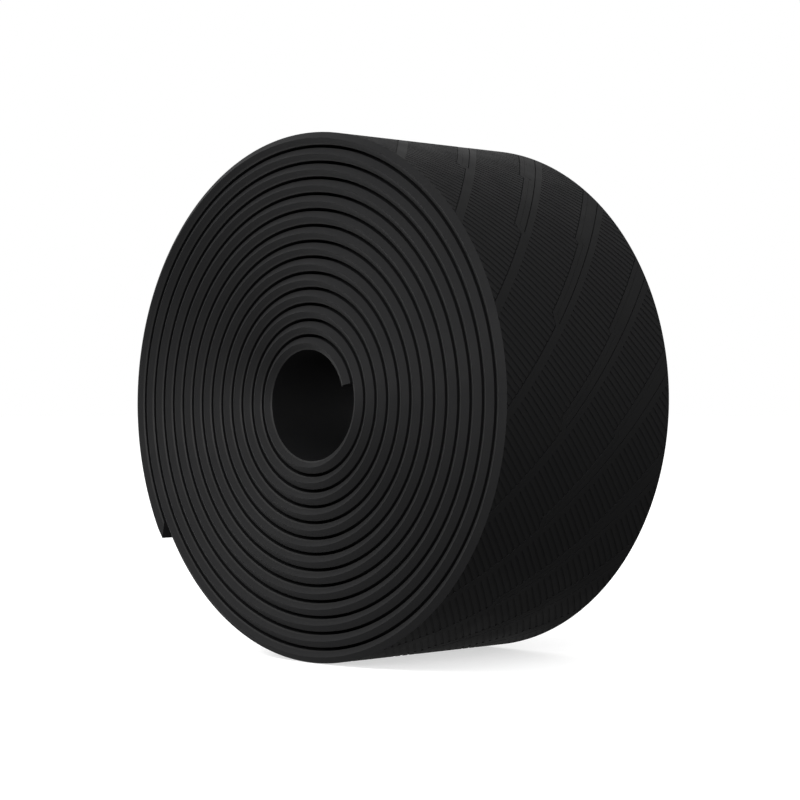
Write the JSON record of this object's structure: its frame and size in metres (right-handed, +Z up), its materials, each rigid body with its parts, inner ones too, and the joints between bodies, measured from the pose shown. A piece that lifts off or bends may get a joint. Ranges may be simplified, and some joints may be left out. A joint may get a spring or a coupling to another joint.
{
  "type": "grip tape roll",
  "caption": "Roll of black embossed grip tape wound into an open spiral, standing on its rim, with a bevelled free end that peels away.",
  "frame": {"origin": "centre of the bottom of the roll's box, under the winding axis, where the roll stands on its rim", "axes": "+Y is the winding axis and points away from the end face where the spiral opens anticlockwise; +Z is up; +X is to the right as that end face is seen"},
  "size_m": [0.057, 0.0264, 0.0561],
  "materials": {
    "skin": "matte embossed polyurethane",
    "backing": "matte closed-cell foam",
    "adhesive": "dark pressure-sensitive adhesive",
    "film": "satin release film"
  },
  "bodies": {
    "roll": {"coil_skin_1": "skin", "coil_skin_2": "skin", "coil_skin_3": "skin", "coil_skin_4": "skin", "coil_skin_5": "skin", "coil_skin_6": "skin", "coil_skin_7": "skin", "coil_skin_8": "skin", "coil_skin_9": "skin", "coil_skin_10": "skin", "coil_skin_11": "skin", "coil_skin_12": "skin", "coil_skin_13": "skin", "coil_backing": "backing", "coil_adhesive": "adhesive", "coil_film": "film"},
    "tail_1": {"tail_skin_1": "skin", "tail_backing_1": "backing", "tail_adhesive_1": "adhesive", "tail_film_1": "film"},
    "tail_2": {"tail_skin_2": "skin", "tail_backing_2": "backing", "tail_adhesive_2": "adhesive", "tail_film_2": "film"},
    "tail_3": {"tail_skin_3": "skin", "tail_backing_3": "backing", "tail_adhesive_3": "adhesive", "tail_film_3": "film"},
    "tail_4": {"tail_skin_4": "skin", "tail_backing_4": "backing", "tail_adhesive_4": "adhesive", "tail_film_4": "film"},
    "tail_5": {"tail_skin_5": "skin", "tail_backing_5": "backing", "tail_adhesive_5": "adhesive", "tail_film_5": "film"},
    "tail_6": {"tail_skin_6": "skin", "tail_backing_6": "backing", "tail_adhesive_6": "adhesive", "tail_film_6": "film"}
  },
  "joints": [
    {"name": "peel_1", "type": "hinge", "parent": "roll", "child": "tail_1", "pos_m": [-0.01714, 0, 0.0505], "axis": [0, 1, 0], "range_deg": [0, 15]},
    {"name": "peel_2", "type": "hinge", "parent": "tail_1", "child": "tail_2", "pos_m": [-0.02252, 0, 0.04522], "axis": [0, 1, 0], "range_deg": [0, 15]},
    {"name": "peel_3", "type": "hinge", "parent": "tail_2", "child": "tail_3", "pos_m": [-0.02636, 0, 0.03871], "axis": [0, 1, 0], "range_deg": [0, 15]},
    {"name": "peel_4", "type": "hinge", "parent": "tail_3", "child": "tail_4", "pos_m": [-0.02838, 0, 0.03141], "axis": [0, 1, 0], "range_deg": [0, 15]},
    {"name": "peel_5", "type": "hinge", "parent": "tail_4", "child": "tail_5", "pos_m": [-0.02845, 0, 0.02382], "axis": [0, 1, 0], "range_deg": [0, 15]},
    {"name": "peel_6", "type": "hinge", "parent": "tail_5", "child": "tail_6", "pos_m": [-0.02655, 0, 0.01645], "axis": [0, 1, 0], "range_deg": [0, 15]}
  ],
  "couplings": [
    {"joint": "peel_2", "follows": "peel_1", "ratio": 1},
    {"joint": "peel_3", "follows": "peel_1", "ratio": 1},
    {"joint": "peel_4", "follows": "peel_1", "ratio": 1},
    {"joint": "peel_5", "follows": "peel_1", "ratio": 1},
    {"joint": "peel_6", "follows": "peel_1", "ratio": 1}
  ]
}
